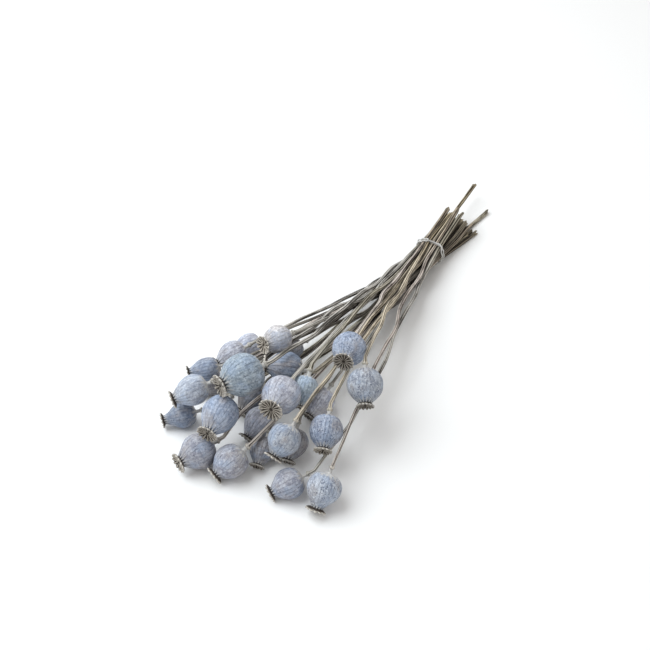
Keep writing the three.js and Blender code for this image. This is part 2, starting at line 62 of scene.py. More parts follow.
# Sizes that the solids keep to. Radii and rises of a head are over its width, and lengths are in metres.
NECK_LENGTH = 4.5 * MM
OUTLINE_PLACES = [0.0, 0.055, 0.22, 0.46, 0.68, 0.86, 1.0]  # of the capsule's sections, over its length
CROWN_LOBE = 0.295
CROWN_NOTCH = 0.262
CROWN_UNDER_RISE = 0.027
CROWN_LOBE_RISE = 0.115
CROWN_NOTCH_RISE = 0.085
CROWN_THICKNESS = 0.028
CROWN_DISH_RISE = 0.07
THROAT_RADIUS = 0.18
RING_RADIUS = 0.82  # the receptacle ring's radius over the stalk's diameter
FLARE_SECTIONS = 4  # the stem model's last sections, which are the flare and the ring

# How points of the solids are told apart.
SAME_POINT = 2e-6  # points that are closer than this are one point
SAME_LEVEL = 0.05 * MM  # points of a head's foot, or of its crown's tips, differ less than this in rise
LEVEL_SLACK = 0.02 * MM  # and those of a section of its capsule by less than this from its place
OFF_AXIS = 0.5 * MM  # points further from a head's axis than this aren't its middle point
END_REACH = 7 * MM  # from one corner of a stem's cut end, takes in the others and nothing else

# Rows of points from one part of a head to the next, and points round it for each ray.
NECK_ROWS = 6
CAPSULE_ROWS = 42
CROWN_ROWS = 13
SIDE_POINTS = 8
FINE_POINTS = 16  # near the crown and on it

# Relief of the heads, over their width.
LUMP_SIZE = 0.34
WRINKLE_SIZE = 0.085
WRINKLE_DEPTH = 0.0022
DENTS = 3
LOBE_REACH = 1.03  # the crown's lobes over the solids' lobes
LOBE_POWER = 2.2
SLOT_DEPTH = 0.045  # the lobes part further in than the solids' notches
RAGGED_SIZE = 0.05
RAGGED_DEPTH = 0.005
RIM_WAVE = 0.008
RIM_BULGE = 0.002
ARCH_HEIGHT = 0.008  # of the crown's underside over each pore
UNDER_ROWS = (0.0, 0.25, 0.5, 0.75, 0.93)  # of the crown's underside, from the throat to its rim

# Stems.
SCARS = 3
SPLITS = 2  # in a cut end
SCAR_SWELLING = 2.2 * MM
SCAR_MARK = 1.3 * MM
HOLLOW_DEPTH = 1.5 * MM  # of a cut end, past the deepest place of its rim
SWELLING_SIZE = 11 * MM
STRAY_SIZE = 14 * MM
FLARE_RINGS = 4  # rings of the receptacle before its raised ring
RIB_FADE = 9  # rings before the end over which a stem's ribs fade
STEM_PLACES = 140  # points on a stem's line that other stems are compared with
# Painted shade between the stems: bark darkens where another stem lies within this reach, fully where they
# touch.
GAP_SHADE_REACH = 7.5 * MM  # between the middles of two stems where the darkening sets in
GAP_SHADE_TOUCHING = 4.2 * MM  # between those of two stems that touch

# The bark pales over a stretch before the head and weathers over one before the cut end.
PALE_FROM = 90 * MM
PALE_FULLY = 5 * MM
WEATHERED_TO = 150 * MM
WEATHERED_FULLY = 50 * MM

# The elastic band.
BAND_STEPS = 288
BAND_SIDES = 14
BAND_SMOOTHING = 3
BAND_THIN = 0.85  # half height of the band's section over its radius
BAND_BROAD = 1.1  # and its half width

# The studio's lights: place from the camera's aim, width, power and colour.
LIGHTS = {
    "key": ((-0.85, -0.35, 1.3), 1.9, 32, (0.92, 0.97, 1.0)),
    "fill": ((1.3, -0.7, 1.0), 1.6, 4, (1.0, 0.96, 0.90)),
    "back": ((-0.2, 1.5, 1.2), 1.4, 5, (1.0, 0.97, 0.94)),
}
WORLD_COLOR = (1.0, 0.985, 0.97, 1)
WORLD_STRENGTH = 0.45
FLOOR_REACH = 6
SENSOR_WIDTH = 36  # in millimetres
VIEW_REACH = 20

HEAD_SEED = 100
STEM_SEED = 500

# Colours of small features.
# The pores' colour is painted shade: near-black in the openings under the crown.
PORE_SHADE_COLOR = (0.018, 0.014, 0.011)
SCAR_COLOR = (0.045, 0.034, 0.026)
STALK_BLOOM_COLOR = (0.46, 0.435, 0.38)
RECEPTACLE_COLOR = (0.56, 0.54, 0.49)

# The capsules' skins: the skin where the bloom is rubbed off, and the waxy bloom on it.
TONES = {
    "frost": ((0.297, 0.329, 0.407), (0.616, 0.658, 0.726)),
    "blue": ((0.209, 0.250, 0.348), (0.473, 0.528, 0.637)),
    "lilac": ((0.281, 0.289, 0.354), (0.594, 0.613, 0.684)),
    "teal": ((0.204, 0.250, 0.301), (0.451, 0.516, 0.578)),
    "slate": ((0.121, 0.142, 0.195), (0.308, 0.346, 0.425)),
    "pearl": ((0.360, 0.345, 0.355), (0.700, 0.680, 0.690)),
    "dun": ((0.187, 0.176, 0.189), (0.396, 0.397, 0.425)),
}
# Each head's tone and shade, its crown's shade, how thickly it is flecked, and how deeply its skin has
# sunk in over its width.
# A head's shade is partly its own tone and partly painted light and shade; head 12's low shade is painted
# shade.
LOOKS = {
    "01": ("pearl", 1.10, 1.30, 0.3, 0.01),
    "02": ("lilac", 1.20, 1.00, 0.2, 0.01),
    "03": ("lilac", 1.08, 1.00, 0.3, 0.01),
    "04": ("teal", 1.00, 0.85, 0.6, 0.015),
    "05": ("dun", 1.00, 1.00, 0.3, 0.02),
    "06": ("frost", 1.00, 1.15, 0.3, 0.02),
    "07": ("blue", 0.85, 0.75, 0.2, 0.015),
    "08": ("blue", 0.72, 1.00, 0.3, 0.015),
    "09": ("blue", 1.00, 0.85, 0.2, 0.01),
    "10": ("lilac", 0.80, 1.00, 0.4, 0.015),
    "11": ("lilac", 0.88, 1.10, 0.5, 0.01),
    "12": ("dun", 0.62, 0.70, 0.3, 0.03),
    "13": ("lilac", 1.40, 0.70, 0.3, 0.02),
    "14": ("lilac", 1.00, 1.00, 0.2, 0.005),
    "15": ("slate", 1.00, 1.50, 0.3, 0.05),
    "16": ("dun", 1.40, 1.00, 0.3, 0.02),
    "17": ("frost", 0.80, 0.95, 0.5, 0.02),
    "18": ("dun", 1.00, 0.60, 0.3, 0.02),
    "19": ("dun", 1.00, 0.70, 0.3, 0.02),
    "20": ("teal", 1.20, 0.80, 0.3, 0.01),
    "21": ("lilac", 1.45, 0.50, 0.4, 0.02),
    "22": ("blue", 1.08, 0.90, 0.8, 0.01),
    "23": ("frost", 0.85, 0.60, 0.9, 0.005),
    "24": ("blue", 1.00, 1.05, 1.0, 0.005),
    "25": ("lilac", 0.86, 1.00, 0.4, 0.005),
    "26": ("frost", 1.00, 1.05, 1.0, 0.01),
}
# The stems' barks: the furrows and the ridges between them.
BARKS = {
    "tan": ((0.088, 0.070, 0.052), (0.740, 0.645, 0.500)),
    "grey": ((0.060, 0.054, 0.048), (0.620, 0.592, 0.545)),
    "olive": ((0.066, 0.058, 0.042), (0.570, 0.525, 0.430)),
    "rose": ((0.085, 0.066, 0.058), (0.700, 0.625, 0.570)),
    # Partly the stems' own darker tone and partly painted shade.
    "dark": ((0.028, 0.023, 0.019), (0.300, 0.270, 0.238)),
}
# The dark bark is partly the stems' own darker tone and partly painted shade for stems lying under others.
STEM_BARKS = {
    "01": "grey", "02": "dark", "03": "grey", "04": "grey", "05": "dark", "06": "rose", "07": "dark",
    "08": "olive", "09": "grey", "10": "rose", "11": "rose", "12": "dark", "13": "olive", "14": "grey",
    "15": "tan", "16": "dark", "17": "tan", "18": "dark", "19": "dark", "20": "olive", "21": "grey",
    "22": "rose", "23": "tan", "24": "tan", "25": "grey", "26": "rose",
}


def color_setting(name, description, default):
    settings = {"name": name, "description": description, "subtype": "COLOR"}
    return bpy.props.FloatVectorProperty(default=default, **settings)


def length_setting(name, description, default):
    return bpy.props.FloatProperty(name=name, description=description, default=default, unit="LENGTH")


def share_setting(name, description, default, most):
    return bpy.props.FloatProperty(name=name, description=description, default=default, min=0, max=most)


def angle_setting(name, description, default):
    return bpy.props.FloatProperty(name=name, description=description, default=default, subtype="ANGLE")


class HeadSettings(bpy.types.PropertyGroup):
    """Shape and finish of the seed heads."""

    ribs: share_setting("Ribs", "Depth of the capsule's ribs over its width", 0.006, 0.03)
    lumps: share_setting("Lumps", "Unevenness of the capsule over its width", 0.007, 0.03)
    ray_height: share_setting("Ray height", "Height of the crown's rays over the head's width", 0.022, 0.05)
    crown: color_setting("Crown", "Colour of the crown between its rays", (0.055, 0.043, 0.034))
    ray: color_setting("Rays", "Colour of the crown's rays", (0.46, 0.42, 0.365))
    fringe: color_setting("Fringe", "Colour of the neck and of the crown's dry rim", (0.66, 0.64, 0.60))
    fleck: color_setting("Flecks", "Colour of the capsule's flecks", (0.055, 0.070, 0.125))
    rubbed: color_setting("Rubbed skin", "Warm colour of some stretches of the skin", (0.36, 0.33, 0.32))
    waxy: color_setting("Waxy skin", "Cool colour of some stretches of the skin", (0.31, 0.40, 0.56))


class StemSettings(bpy.types.PropertyGroup):
    """Shape and finish of the stems."""

    sides: bpy.props.IntProperty(name="Sides", description="Points round a stem", default=20, min=8, max=48)
    step: length_setting("Step", "Length between two rings of a stem", 3.0 * MM)
    ribs: share_setting("Ribs", "Depth of a stem's ribs over its radius", 0.1, 0.2)
    waver: length_setting("Waver", "How far a stem strays from its line", 0.08 * MM)
    weathered: color_setting("Weathered", "Tint of the bark towards the cut end", (0.62, 0.565, 0.42))
    pith: color_setting("Pith", "Colour of the pith in a cut end", (0.50, 0.43, 0.31))


class BandSettings(bpy.types.PropertyGroup):
    """Shape and finish of the elastic band."""

    thickness: length_setting("Thickness", "The band's thickness", 1.6 * MM)
    spread: length_setting("Spread", "How far each turn lies from the middle", 3.2 * MM)
    lift: length_setting("Lift", "How far the turns rise where they cross", 1.0 * MM)
    gap: length_setting("Gap", "Room between the band and the stems", 0.35 * MM)
    color: color_setting("Colour", "Colour of the band", (0.60, 0.59, 0.57))


class StageSettings(bpy.types.PropertyGroup):
    """Camera, floor and light."""

    azimuth: angle_setting("Azimuth", "Where the camera stands round the bunch", math.radians(32))
    elevation: angle_setting("Elevation", "How high the camera stands", math.radians(42))
    distance: length_setting("Distance", "From the camera to the place it looks at", 1.14)
    lens: bpy.props.FloatProperty(name="Lens", description="Focal length in millimetres", default=60.0)
    aim: bpy.props.FloatVectorProperty(
        name="Aim",
        description="The place it looks at, from under the band",
        default=(-0.0425, -0.1534, 0),
        unit="LENGTH",
    )
    floor: color_setting("Floor", "Colour of the floor", (0.90, 0.90, 0.90))


class Wire:
    """A socket of a finish, for sums on numbers: each operator adds a Math node."""

    def __init__(self, finish, socket):
        self.finish = finish
        self.socket = socket

    def maths(self, operation, *terms):
        return self.finish.node("ShaderNodeMath", {"operation": operation}, dict(enumerate(terms)))

    def __add__(self, other):
        return self.maths("ADD", self, other)

    def __sub__(self, other):
        return self.maths("SUBTRACT", self, other)

    def __rsub__(self, other):
        return self.maths("SUBTRACT", other, self)

    def __mul__(self, other):
        return self.maths("MULTIPLY", self, other)

    __radd__ = __add__
    __rmul__ = __mul__


class Finish:
    """A material under construction."""

    def __init__(self, name, roughness, specular):
        self.material = bpy.data.materials.new(name)
        self.material.use_nodes = True
        self.tree = self.material.node_tree
        self.shader = self.tree.nodes["Principled BSDF"]
        self.shader.inputs["Roughness"].default_value = roughness
        self.shader.inputs["Specular IOR Level"].default_value = specular

    def plug(self, socket, value):
        if isinstance(value, Wire):
            self.tree.links.new(value.socket, socket)
        elif socket.type == "RGBA" and len(value) == 3:
            socket.default_value = (*value, 1)
        else:
            socket.default_value = value

    def node(self, kind, settings, sockets, output=0):
        """Adds a node: its settings first, then the values and wires of its sockets."""
        made = self.tree.nodes.new(kind)
        for name, value in settings.items():
            setattr(made, name, value)
        for name, value in sockets.items():
            self.plug(made.inputs[name], value)
        return Wire(self, made.outputs[output])

    def mix(self, share, first, second, blend="MIX"):
        """One colour into another, where share goes from 0 to 1."""
        settings = {"data_type": "RGBA", "blend_type": blend, "clamp_factor": True}
        return self.node("ShaderNodeMix", settings, {0: share, 6: first, 7: second}, output=2)

    def mark(self, name):
        """A number that the mesh holds at each point."""
        return self.node("ShaderNodeAttribute", {"attribute_name": name}, {}, output=2)

    def stretched(self, place, by):
        return self.node("ShaderNodeVectorMath", {"operation": "MULTIPLY"}, {0: place, 1: by})

    def grain(self, by=(1, 1, 1)):
        """The mesh's own coordinates, in metres, along and across the piece."""
        place = self.node("ShaderNodeAttribute", {"attribute_name": "grain"}, {}, output=1)
        return self.stretched(place, by)

    def noise(self, place, size, detail=3.0, roughness=0.55, distortion=0.0):
        """Cloudy noise, 0 to 1, with patches about as wide as size."""
        sockets = {"Vector": place, "Scale": 1 / size, "Detail": detail, "Roughness": roughness}
        return self.node("ShaderNodeTexNoise", {}, {**sockets, "Distortion": distortion})

    def cells(self, place, size, feature="F1", output=0):
        """Distance inside cells about as wide as size, over the size."""
        sockets = {"Vector": place, "Scale": 1 / size}
        return self.node("ShaderNodeTexVoronoi", {"feature": feature}, sockets, output=output)

    def step(self, value, low, high):
        """0 below low, 1 above high, and smooth between them."""
        settings = {"interpolation_type": "SMOOTHSTEP"}
        return self.node("ShaderNodeMapRange", settings, {"Value": value, "From Min": low, "From Max": high})

    def finish(self, color, roughness, height, depth):
        """Plugs in the colour, the roughness and the fine relief, whose height runs over depth metres."""
        self.plug(self.shader.inputs["Base Color"], color)
        self.plug(self.shader.inputs["Roughness"], roughness)
        bump = self.node("ShaderNodeBump", {}, {"Height": height, "Distance": depth})
        self.plug(self.shader.inputs["Normal"], bump)
        return self.material


class Relief:
    """A smooth random relief, mostly between -1 and 1, with lumps about as wide as size."""

    def __init__(self, random, size, waves=18):
        ways = random.normal(size=(waves, 3))
        ways /= np.linalg.norm(ways, axis=1, keepdims=True)
        self.waves = ways * random.uniform(0.6, 1.4, (waves, 1)) * TAU / (2 * size)
        self.phases = random.uniform(0, TAU, waves)

    def __call__(self, points):
        return np.sin(points @ self.waves.T + self.phases).sum(axis=-1) * math.sqrt(1 / len(self.phases))


def shaded(color, by):
    """A colour made darker or lighter."""
    return tuple(min(1, by * c) for c in color)


def smooth(low, high, value):
    """0 at low, 1 at high, and smooth between them."""
    share = np.clip((value - low) / (high - low), 0, 1)
    return share * share * (3 - 2 * share)


def lengths(path):
    """How far along a path each of its points lies."""
    return np.concatenate([[0], np.cumsum(np.linalg.norm(np.diff(path, axis=0), axis=1))])


def circle(turn, radius, rise):
    """Points round the Z axis, at the angles of turn."""
    return np.stack(np.broadcast_arrays(radius * np.cos(turn), radius * np.sin(turn), rise), axis=-1)


def spline(points, places):
    """A smooth curve through points, at places that run from 0 to 1 along it."""
    points = np.asarray(points, float)
    at = lengths(points)
    slopes = np.gradient(points, at, axis=0)
    where = np.asarray(places) * at[-1]
    k = np.clip(np.searchsorted(at, where, side="right") - 1, 0, len(points) - 2)
    span = (at[k + 1] - at[k])[:, None]
    s = (where - at[k])[:, None] / span
    start = (1 + 2 * s) * (1 - s) ** 2 * points[k] + s * (1 - s) ** 2 * span * slopes[k]
    end = s * s * (3 - 2 * s) * points[k + 1] + s * s * (s - 1) * span * slopes[k + 1]
    return start + end


def unit(vector):
    return vector / np.linalg.norm(vector)


def welded(node):
    """Places of the points of a node's mesh, each one's neighbours, and points in one place joined."""
    shape = bmesh.new()
    shape.from_mesh(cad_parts[node].data)
    bmesh.ops.remove_doubles(shape, verts=shape.verts, dist=SAME_POINT)
    shape.verts.index_update()
    points = np.array([vert.co for vert in shape.verts])
    neighbours = [[edge.other_vert(vert).index for edge in vert.link_edges] for vert in shape.verts]
    shape.free()
    return points, neighbours


def stem_sections(number):
    """Middles and radii of the sections of a stem's model, from the cut end to the receptacle."""
    points, neighbours = welded(f"stem_{number}")
    tip = points[points[:, 1].argmax()]
    section = {i for i, point in enumerate(points) if np.linalg.norm(point - tip) < END_REACH}
    seen = set()
    middles = []
    radii = []
    while len(section) > 1:
        ring = points[sorted(section)]
        middles.append(ring.mean(axis=0))
        radii.append(np.linalg.norm(ring - middles[-1], axis=1).max())
        seen |= section
        section = {other for i in section for other in neighbours[i]} - seen
    return np.array(middles), np.array(radii)


class Head:
    """A head's measures, read from its model and from the end of its stem.

    Its crown is given as the width of a head on which this crown would be of the usual size.
    """

    def __init__(self, number, stem_end):
        points, neighbours = welded(f"seed_head_{number}")
        top = points[max(range(len(points)), key=lambda i: len(neighbours[i]))]
        self.axis = unit(top - stem_end)
        rises = (points - stem_end) @ self.axis
        outward = points - stem_end - rises[:, None] * self.axis
        radii = np.linalg.norm(outward, axis=1)
        foot = (rises < rises.min() + SAME_LEVEL) & (radii > OFF_AXIS)
        self.rays = int(foot.sum())
        self.neck = radii[foot].mean()
        self.foot = rises.min()
        self.width = 2 * radii.max()
        self.length = np.linalg.norm(top - stem_end) - NECK_LENGTH - CROWN_DISH_RISE * self.width
        self.middle = stem_end + self.axis * (NECK_LENGTH + self.length / 2)
        self.outline = []
        for place in OUTLINE_PLACES:
            level = np.abs(rises - NECK_LENGTH - place * self.length) < LEVEL_SLACK
            self.outline.append((np.median(radii[level]), place * self.length))
        tips = rises > rises.max() - SAME_LEVEL
        self.crown = radii[tips].mean() / CROWN_LOBE
        self.side = unit(outward[tips][0])
        self.across = np.cross(self.axis, self.side)

    def place(self, local):
        """From the head's own frame, crown towards +Z, to the bunch's."""
        return self.middle + local @ np.array([self.side, self.across, self.axis])


def shelter(place, out, others):
    """Painted shade on a ring of a stem where other stems press close, 0 to 1 at each of its points.

    The points lie from place towards out, and others are points on the middle lines of the other stems.
    """
    ways = others - place
    gaps = np.linalg.norm(ways, axis=1)
    near = gaps < GAP_SHADE_REACH
    if not near.any():
        return np.zeros(len(out))
    facing = out @ (ways[near] / gaps[near, None]).T
    return (smooth(0.25, 0.95, facing) * smooth(GAP_SHADE_REACH, GAP_SHADE_TOUCHING, gaps[near])).max(axis=1)


def made_object(name, points, faces, grain, marks, material):
    """An object with its finish and the numbers that the finish reads."""
    points[:, 2] = np.maximum(points[:, 2], 0)  # what lies on the table is pressed flat
    mesh = bpy.data.meshes.new(name)
    mesh.from_pydata(points.tolist(), [], faces)
    mesh.update()
    mesh.shade_smooth()
    attribute = mesh.attributes.new("grain", "FLOAT_VECTOR", "POINT")
    attribute.data.foreach_set("vector", np.ravel(grain).astype(np.float32))
    for mark, values in marks.items():
        attribute = mesh.attributes.new(mark, "FLOAT", "POINT")
        attribute.data.foreach_set("value", values.astype(np.float32))
    mesh.materials.append(material)
    piece = bpy.data.objects.new(name, mesh)
    bpy.context.scene.collection.objects.link(piece)
    return piece


class Rings:
    """Rings of points from one end of a piece to the other, with marks for its finish at every point."""

    def __init__(self, marks):
        self.points = []
        self.counts = []
        self.marks = {name: [] for name in marks}

    def add(self, points, **marks):
        points = np.atleast_2d(points)
        self.points.append(points)
        self.counts.append(len(points))
        for name, values in self.marks.items():
            values.append(np.broadcast_to(marks.get(name, 0.0), len(points)))

    def faces(self):
        """Faces between the rings.

        A ring has as many points as the one before it or twice as many, and each end is a single point.
        """
        starts = np.concatenate([[0], np.cumsum(self.counts)])
        made = []
        for r in range(len(self.counts) - 1):
            here, there = self.counts[r], self.counts[r + 1]
            low, high = int(starts[r]), int(starts[r + 1])
            for k in range(min(here, there) if min(here, there) > 1 else max(here, there)):
                if here == 1:
                    made.append((low, high + (k + 1) % there, high + k))
                elif there == 1:
                    made.append((high, low + k, low + (k + 1) % here))
                elif here == there:
                    after = (k + 1) % here
                    made.append((low + k, low + after, high + after, high + k))
                else:
                    after = (k + 1) % here
                    made.append((low + k, high + 2 * k + 1, high + 2 * k))
                    made.append((low + k, low + after, high + 2 * k + 1))
                    made.append((low + after, high + 2 * after, high + 2 * k + 1))
        return made

    def piece(self, name, grain, material, slot, node):
        """The finished object, on the bunch's body and in the place of its node."""
        marks = {mark: np.concatenate(values) for mark, values in self.marks.items()}
        piece = made_object(name, np.vstack(self.points), self.faces(), grain, marks, material)
        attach(piece, BODY)
        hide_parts(node)


def crown_color(finish, place, shade, settings):
    """The brown crown with its worn pale rays and dry rim."""
    rays = shaded(settings.ray, shade)
    worn = finish.noise(place, 1.2 * MM, detail=5, roughness=0.7)
    crest = finish.mix(finish.step(worn, 0.45, 0.75), rays, shaded(rays, 1.4))
    on_ray = finish.step(finish.mark("ray") + worn * 0.4 - 0.2, 0.25, 0.85)
    crown = finish.mix(on_ray, shaded(settings.crown, shade), crest)
    return finish.mix(finish.mark("edge") * finish.step(worn, 0.38, 0.58) * 0.85, crown, settings.fringe)


def capsule_finish(number, settings):
    """Skin under a patchy waxy bloom, flecked and netted with fine wrinkles, and the brown crown."""
    tone, shade, crown_shade, flecked, _ = LOOKS[number]
    # The shade brightens or darkens skin and bloom: partly the head's own tone, partly painted light and
    # shade.
    skin, bloom = (shaded(color, shade) for color in TONES[tone])
    coarse = 0.4 + 0.6 * flecked
    finish = Finish(f"capsule_{number}", roughness=0.7, specular=0.3)
    place = finish.grain()
    along = finish.mark("along")
    rib = finish.mark("rib")

    patches = finish.noise(place, 8 * MM, detail=4, roughness=0.6)
    mottle = finish.noise(place, 2.4 * MM, detail=5, roughness=0.62)
    powder = finish.noise(place, 0.5 * MM, detail=3, roughness=0.6)
    wander = finish.node("ShaderNodeTexNoise", {}, {"Vector": place, "Scale": 260, "Detail": 2}, 1)
    strayed = finish.mix(1.0, wander, (1.6 * MM, 1.6 * MM, 1.6 * MM), "MULTIPLY")
    bent = finish.mix(1.0, place, strayed, "ADD")
    net = finish.step(finish.cells(bent, 2.3 * MM, "DISTANCE_TO_EDGE"), 0.09, 0.0)
    long_cells = finish.cells(finish.stretched(bent, (1, 1, 0.25)), 1.9 * MM, "DISTANCE_TO_EDGE")
    long_net = finish.step(long_cells, 0.12, 0.0)
    spots = finish.cells(place, 1.8 * MM)
    chosen = finish.noise(place, 3.6 * MM, detail=2)
    rarity = 0.64 - 0.19 * flecked
    fleck = finish.step(spots, 0.36, 0.20) * finish.step(chosen, rarity, rarity + 0.06)
    drops = finish.step(finish.cells(bent, 4.5 * MM), 0.34, 0.12) * finish.step(chosen, 0.47, 0.40)

    strays = (patches - 0.5) * 0.9 + (mottle - 0.5) * 0.5
    double = (rib + strays) * (rib + strays) * 2 - 1
    lines = finish.step(double, -0.45, -1.0) * finish.step(chosen + mottle * 0.5, 0.62, 0.85)
    cover = finish.step(patches * 0.5 + mottle * 0.5, 0.38, 0.62)
    body = finish.mix(cover, skin, bloom)
    regions = finish.noise(finish.stretched(place, (1, 1, 0.8)), 15 * MM, detail=3)
    body = finish.mix(finish.step(regions, 0.50, 0.66) * 0.6, body, settings.rubbed)
    body = finish.mix(finish.step(regions, 0.50, 0.34) * 0.5, body, settings.waxy)
    blots = finish.noise(place, 1.5 * MM, detail=4, roughness=0.65)
    rough_skin = finish.step(finish.noise(place, 6 * MM, detail=2), 0.38, 0.60)
    light_blots = finish.step(blots, 0.50, 0.64) * (0.1 + 0.6 * rough_skin) * coarse
    dark_blots = finish.step(blots, 0.47, 0.33) * (0.1 + 0.5 * rough_skin) * coarse
    body = finish.mix(light_blots, body, shaded(bloom, 1.3))
    body = finish.mix(dark_blots, body, shaded(skin, 0.8))
    body = finish.mix(drops * 0.5, body, shaded(bloom, 1.4))
    body = finish.mix((net * 0.15 + long_net * 0.3) * coarse, body, shaded(skin, 0.7))
    body = finish.mix(lines * 0.6, body, shaded(skin, 0.6))
    body = finish.mix(finish.step(powder, 0.56, 0.70) * (0.5 * coarse), body, shaded(skin, 0.55))
    body = finish.mix(fleck * (0.35 + 0.5 * flecked), body, settings.fleck)
    pleat = finish.step(along, 0.86, 1.02) * finish.step(rib + mottle - 0.5, -0.3, 0.8)
    collar = finish.step(along + (mottle + rib * 0.12 - 0.5) * 0.3, 0.10, 0.0)
    body = finish.mix(pleat * 0.7 + collar * 0.8, body, settings.fringe)

    color = finish.mix(finish.mark("crown"), body, crown_color(finish, place, crown_shade, settings))
    # Painted shade in the pores and on the crown's underside next to them.
    color = finish.mix(finish.mark("pore"), color, PORE_SHADE_COLOR)

    fine = powder * 0.3 - net * 0.2 - long_net * 0.3
    height = mottle * 0.3 + fine * coarse - fleck * 0.35 - lines * 0.5
    rough = 0.62 + cover * 0.2
    return finish.finish(color, rough, height, 0.5 * MM)


def head_rings(head, sunk, settings, random):
    """A head's rings in its own frame, from the foot of the neck to the middle of the crown."""
    width, length, rays = head.width, head.length, head.rays
    bottom, top = -length / 2, length / 2
    rings = Rings(("along", "crown", "ray", "edge", "pore", "rib"))
    lumps = Relief(random, LUMP_SIZE)
    wrinkles = Relief(random, WRINKLE_SIZE, waves=40)
    lean = random.uniform(0, TAU)
    dents = [(unit(random.normal(size=3)), random.uniform(0.25, 0.5)) for _ in range(DENTS)]
    strength = random.uniform(0.5, 1.4, rays)

    def turns(count):
        return np.arange(count) * TAU / count

    def from_ray(count):
        """Each point's place between two rays: 0 on a ray and half on the line midway between two."""
        return np.abs((turns(count) * rays / TAU + 0.5) % 1 - 0.5)

    def add(count, radius, rise, **marks):
        rings.add(circle(turns(count), radius, rise), **marks)

    def sunken(count, radius, rise, weight):
        """The capsule's radius after its ribs, lumps, wrinkles and dents."""
        turn = turns(count)
        place = circle(turn, radius, rise) / width
        each = np.interp(turn * rays / TAU, np.arange(rays + 1), [*strength, strength[0]])
        rib = np.cos(turn * rays) * each
        relief = settings.lumps * lumps(place) + WRINKLE_DEPTH * wrinkles(place)
        for way, breadth in dents:
            near = np.clip(1 - np.linalg.norm(place - 0.5 * way, axis=1) / breadth, 0, 1)
            relief = relief - sunk * near**2 * (3 - 2 * near)
        from_middle = abs(2 * (rise - bottom) / length - 1)
        relief = relief * weight + settings.ribs * rib * (0.35 + 0.9 * from_middle**2)
        return radius * np.ones(count) + relief * width

    side, fine = SIDE_POINTS * rays, FINE_POINTS * rays
    rings.add((0, 0, bottom - NECK_LENGTH + head.foot), along=-0.15)
    for k in range(NECK_ROWS):
        share = k / NECK_ROWS
        radius = head.neck * (1 - 0.13 * math.sin(math.pi * share)) * (1 + 0.03 * np.cos(turns(side) * rays))
        rise = bottom - (NECK_LENGTH - head.foot) * (1 - share)
        add(side, radius, rise, along=-0.12 * (1 - share), rib=np.cos(turns(side) * rays))
    for radius, rise in spline(head.outline, np.linspace(0, 1, CAPSULE_ROWS)):
        place = rise / length
        weight = smooth(0, 0.12, place) * smooth(1.0, 0.85, place)
        count = fine if place > 0.9 else side
        skin = sunken(count, radius, rise + bottom, weight)
        # Between the rays under the crown, the pores' mark paints shade into the openings.
        mouth = smooth(0.955, 0.985, place) * smooth(0.26, 0.40, from_ray(count))
        skin = skin * (1 - 0.15 * mouth)
        add(count, skin, rise + bottom, along=place, rib=np.cos(turns(count) * rays), pore=0.85 * mouth)

    between = from_ray(fine)
    lobed = 1 - (2 * between) ** LOBE_POWER
    ragged = Relief(random, RAGGED_SIZE)
    turn = turns(fine)
    edge = circle(turn, 1, 0)
    slot = SLOT_DEPTH * smooth(0.36, 0.47, between)
    lobe = LOBE_REACH * CROWN_LOBE - CROWN_NOTCH
    rim = head.crown * (CROWN_NOTCH + lobe * lobed - slot + RAGGED_DEPTH * ragged(edge))
    wave = RIM_WAVE * (np.sin(2 * turn + lean) + 0.5 * ragged(0.7 * edge))
    rim_top = top + width * (CROWN_NOTCH_RISE + (CROWN_LOBE_RISE - CROWN_NOTCH_RISE) * lobed + wave)
    thick = CROWN_THICKNESS * width
    rim_under = rim_top - thick
    throat = THROAT_RADIUS * width
    throat_rise = top + CROWN_UNDER_RISE * width
    gap = smooth(0.24, 0.40, between)
    for share in (0.0, 0.5):
        rise = top + share * CROWN_UNDER_RISE * width
        radius = throat * (1 - 0.2 * gap)
        add(fine, radius, rise, along=1.0, crown=share, pore=0.9 * gap, rib=np.cos(turn * rays))
    for share in UNDER_ROWS:
        radius = throat + (rim - throat) * share - 0.006 * width * gap * (1 - share)
        arch = ARCH_HEIGHT * width * gap * math.sin(math.pi * share)
        rise = throat_rise + (rim_under - throat_rise) * share**1.3 + arch
        ray = 0.55 * share * (1 - gap)
        add(fine, radius, rise, along=1.0, crown=1.0, ray=ray, pore=0.75 * gap * (1 - share))
    add(fine, rim, rim_under + 0.25 * thick, crown=1.0, ray=0.9, edge=1.0)
    add(fine, rim + RIM_BULGE * width, rim_under + 0.65 * thick, crown=1.0, ray=1.0, edge=1.0)
    dish = top + width * CROWN_DISH_RISE
    ray_height = settings.ray_height * width
    for share in np.linspace(0.985, 0.07, CROWN_ROWS):
        ridge = smooth(0.25, 0.15, between) * (1 - 0.6 * smooth(0.08, 0.01, between))
        ridge = np.maximum(ridge * smooth(0.04, 0.22, share), 0.8 * smooth(0.95, 1.0, share))
        rise = dish + (rim_top - dish) * share**2
        rise = rise + ray_height * (ridge - 0.5 * math.sin(math.pi * share))
        add(fine, rim * share, rise, crown=1.0, ray=ridge, edge=smooth(0.90, 0.98, share))
    rings.add((0, 0, dish - 0.002 * width), crown=1.0)
    return rings


def make_head(number, head, settings):
    random = np.random.RandomState(HEAD_SEED + int(number))
    *_, sunk = LOOKS[number]
    rings = head_rings(head, sunk, settings, random)
    own = np.vstack(rings.points)
    rings.points = [head.place(points) for points in rings.points]
    grain = own + random.uniform(-0.5, 0.5, 3)
    material = capsule_finish(number, settings)
    rings.piece(f"poppy_head_{number}", grain, material, "capsule", f"seed_head_{number}")


